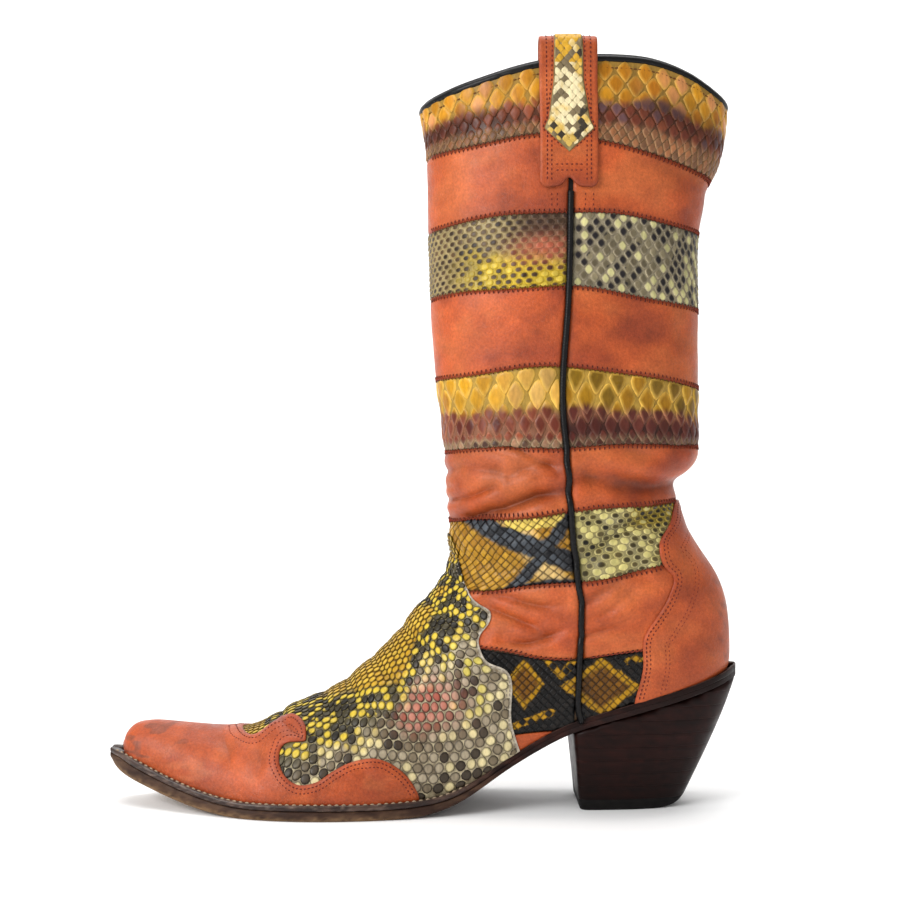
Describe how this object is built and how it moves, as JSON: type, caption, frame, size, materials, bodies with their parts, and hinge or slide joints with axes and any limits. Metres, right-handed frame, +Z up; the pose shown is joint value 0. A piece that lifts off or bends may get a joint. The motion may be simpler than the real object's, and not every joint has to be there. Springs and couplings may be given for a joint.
{
  "type": "cowboy boot",
  "caption": "Tall pointed-toe heeled riding boot with a banded patchwork shaft, pull straps at the mouth, wing-tip toe cap and an undercut stacked heel",
  "frame": {"origin": "on the floor under the middle of the boot's length and width", "axes": "+Z up, toe towards -X, heel towards +X, the boot's outer side towards -Y"},
  "size_m": [0.29, 0.092, 0.3442],
  "materials": {
    "python_skin": "dyed reptile skin with raised glossy scales",
    "terracotta_leather": "satin grained leather with light wear",
    "black_leather": "glossy cord and binding leather",
    "lining_leather": "smooth matte lining leather",
    "sole_leather": "burnished sole leather with a dull worn tread edge",
    "welt_leather": "waxed welt with light stitches",
    "stacked_heel_leather": "dark stained stacked leather, semi-gloss",
    "heel_rubber": "hard black rubber",
    "steel": "plain steel",
    "peg_wood": "pale split wood",
    "cork": "granular cork",
    "insole_leather": "plain vegetable-tanned leather",
    "stiffener_board": "fibrous backing board"
  },
  "bodies": {
    "root": {"back_band_1_python": "python_skin", "back_band_2_leather": "terracotta_leather", "back_band_3_python": "python_skin", "back_band_4_leather": "terracotta_leather", "back_band_5_python": "python_skin", "back_band_6_leather": "terracotta_leather", "back_band_7_python": "python_skin", "back_band_8_leather_left": "terracotta_leather", "back_band_8_leather_right": "terracotta_leather", "back_band_9_python_left": "python_skin", "back_band_9_python_right": "python_skin", "cork_filler": "cork", "counter_cover": "terracotta_leather", "counter_stiffener": "stiffener_board", "front_band_10_leather_left": "terracotta_leather", "front_band_10_leather_right": "terracotta_leather", "front_band_1_python": "python_skin", "front_band_2_leather": "terracotta_leather", "front_band_3_python": "python_skin", "front_band_4_leather": "terracotta_leather", "front_band_5_python": "python_skin", "front_band_6_leather": "terracotta_leather", "front_band_7_python": "python_skin", "front_band_8_leather_left": "terracotta_leather", "front_band_8_leather_right": "terracotta_leather", "front_band_9_python_left": "python_skin", "front_band_9_python_right": "python_skin", "heel_cap": "heel_rubber", "heel_lift_1": "stacked_heel_leather", "heel_lift_2": "stacked_heel_leather", "heel_lift_3": "stacked_heel_leather", "heel_lift_4": "stacked_heel_leather", "heel_lift_5": "stacked_heel_leather", "heel_lift_6": "stacked_heel_leather", "heel_lift_7": "stacked_heel_leather", "heel_lift_8": "stacked_heel_leather", "heel_lift_9": "stacked_heel_leather", "heel_nails": "steel", "heel_rand": "sole_leather", "insole": "insole_leather", "outsole": "sole_leather", "pull_strap_left": "terracotta_leather", "pull_strap_right": "terracotta_leather", "shaft_lining_back": "lining_leather", "shaft_lining_front": "lining_leather", "side_piping_left": "black_leather", "side_piping_right": "black_leather", "sock_liner": "insole_leather", "steel_shank": "steel", "strap_inlay_left": "python_skin", "strap_inlay_right": "python_skin", "toe_cap": "terracotta_leather", "toe_puff": "stiffener_board", "top_binding": "black_leather", "vamp": "python_skin", "vamp_backing": "stiffener_board", "vamp_lining": "lining_leather", "waist_pegs": "peg_wood", "welt": "welt_leather"}
  },
  "joints": []
}
